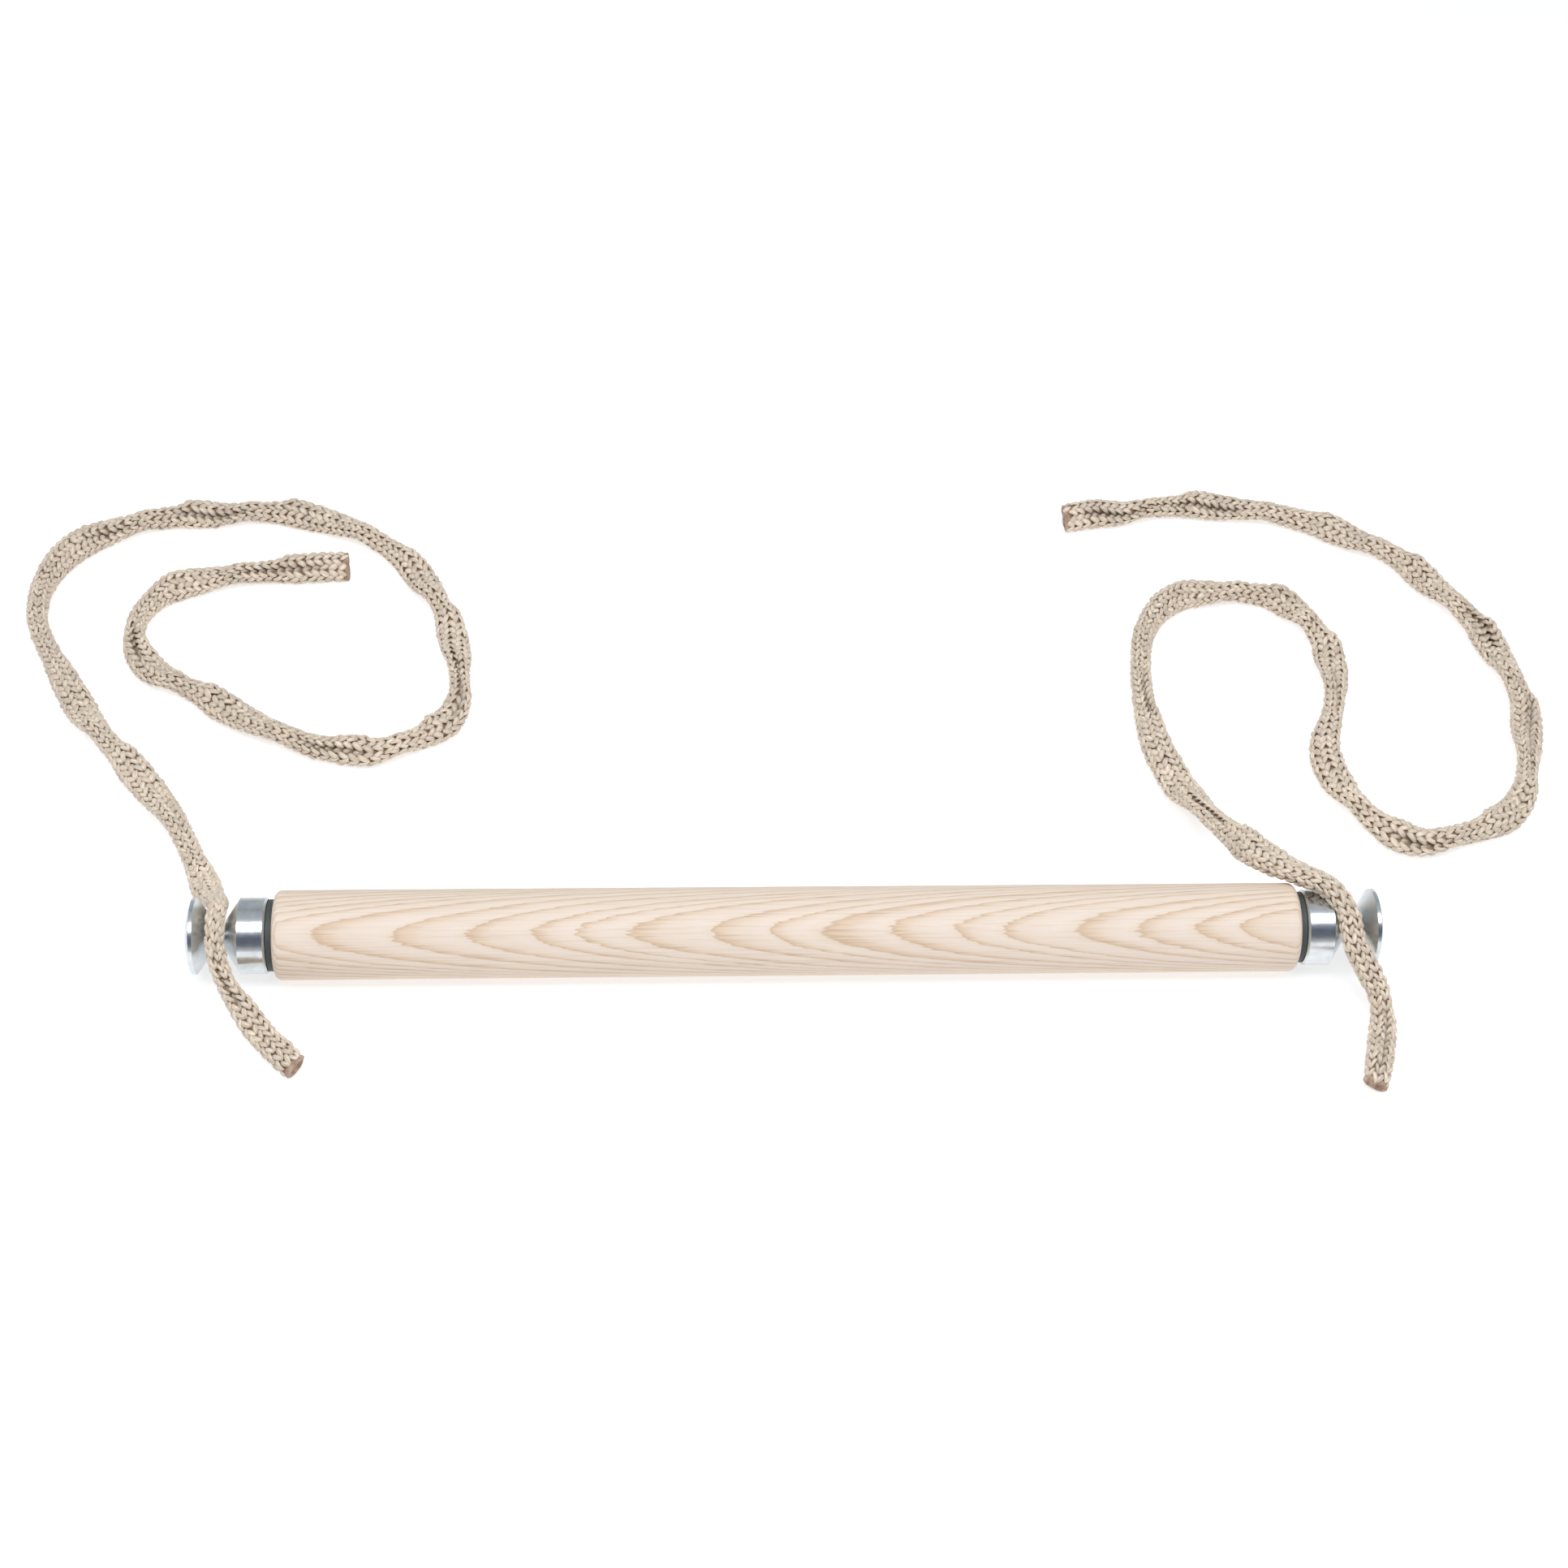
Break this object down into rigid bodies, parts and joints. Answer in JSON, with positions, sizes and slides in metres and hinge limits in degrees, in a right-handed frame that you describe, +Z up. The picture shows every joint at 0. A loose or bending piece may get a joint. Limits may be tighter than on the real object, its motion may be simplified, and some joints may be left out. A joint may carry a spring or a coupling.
{
  "type": "trapeze swing bar",
  "caption": "Round wooden trapeze bar that turns on a steel axle, with a spool fitting at each end and a knitted cord laid over each spool's neck.",
  "frame": {"origin": "under the middle of the grip, on the surface that the bar lies on", "axes": "+X along the bar towards its right end, +Z up"},
  "size_m": [0.667, 0.3615, 0.0438],
  "materials": {
    "ash_wood": "fine sanded, unvarnished pale ash",
    "bare_steel": "turned bare steel",
    "bush_plastic": "moulded dark grey plain-bearing plastic",
    "zinc_steel": "turned steel, bright zinc plated",
    "knitted_cord": "hollow knitted beige cord, ends sealed by heat"
  },
  "bodies": {
    "spool_frame": {"axle": "bare_steel", "left_collar": "zinc_steel", "right_collar": "zinc_steel", "left_neck_sleeve": "zinc_steel", "right_neck_sleeve": "zinc_steel", "left_end_cap": "zinc_steel", "right_end_cap": "zinc_steel", "left_cord": "knitted_cord", "right_cord": "knitted_cord"},
    "grip": {"grip": "ash_wood", "left_bush": "bush_plastic", "right_bush": "bush_plastic"}
  },
  "joints": [
    {"name": "grip_spin", "type": "hinge", "parent": "spool_frame", "child": "grip", "pos_m": [0, 0, 0.0175], "axis": [1, 0, 0], "continuous": true}
  ]
}
